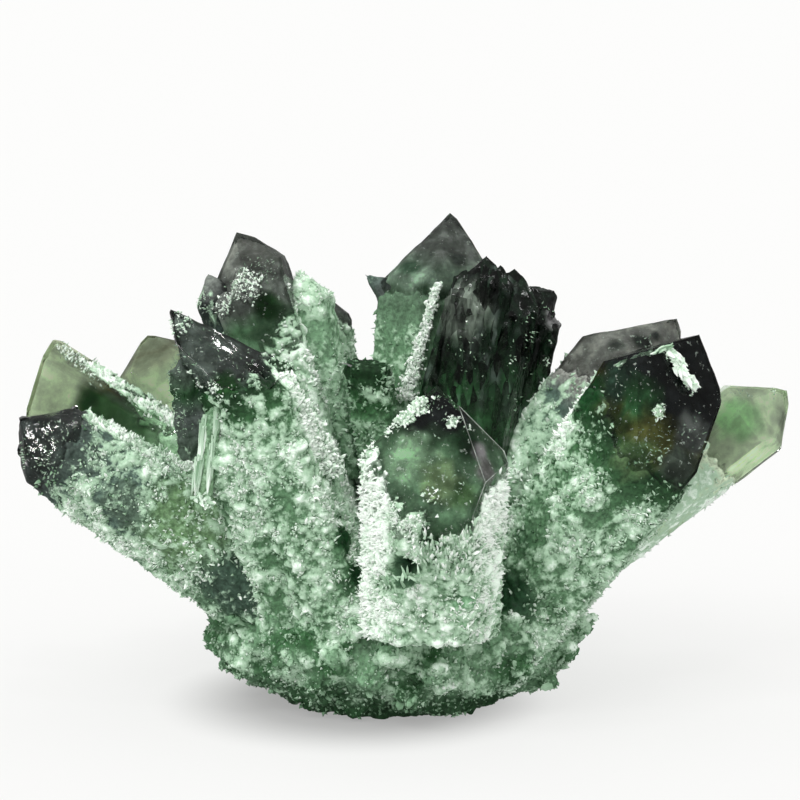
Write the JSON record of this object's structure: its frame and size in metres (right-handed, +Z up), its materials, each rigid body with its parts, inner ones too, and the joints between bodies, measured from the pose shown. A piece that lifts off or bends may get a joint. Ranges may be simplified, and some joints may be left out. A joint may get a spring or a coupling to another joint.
{
  "type": "green phantom quartz cluster",
  "caption": "Natural cluster of pointed six-sided quartz crystals with green inclusions, spraying from one druse-covered foot.",
  "frame": {"origin": "middle of the flat patch that the foot rests on", "axes": "+Z up; -Y towards the viewer, the side with the short broad front crystal; +X along the widest extent, to the viewer's right"},
  "size_m": [0.1009, 0.073, 0.063],
  "materials": {
    "phantom_quartz": "satin",
    "clear_quartz": "polished",
    "druse": "satin"
  },
  "bodies": {
    "root": {"quartz_cluster": "phantom_quartz"}
  },
  "joints": []
}
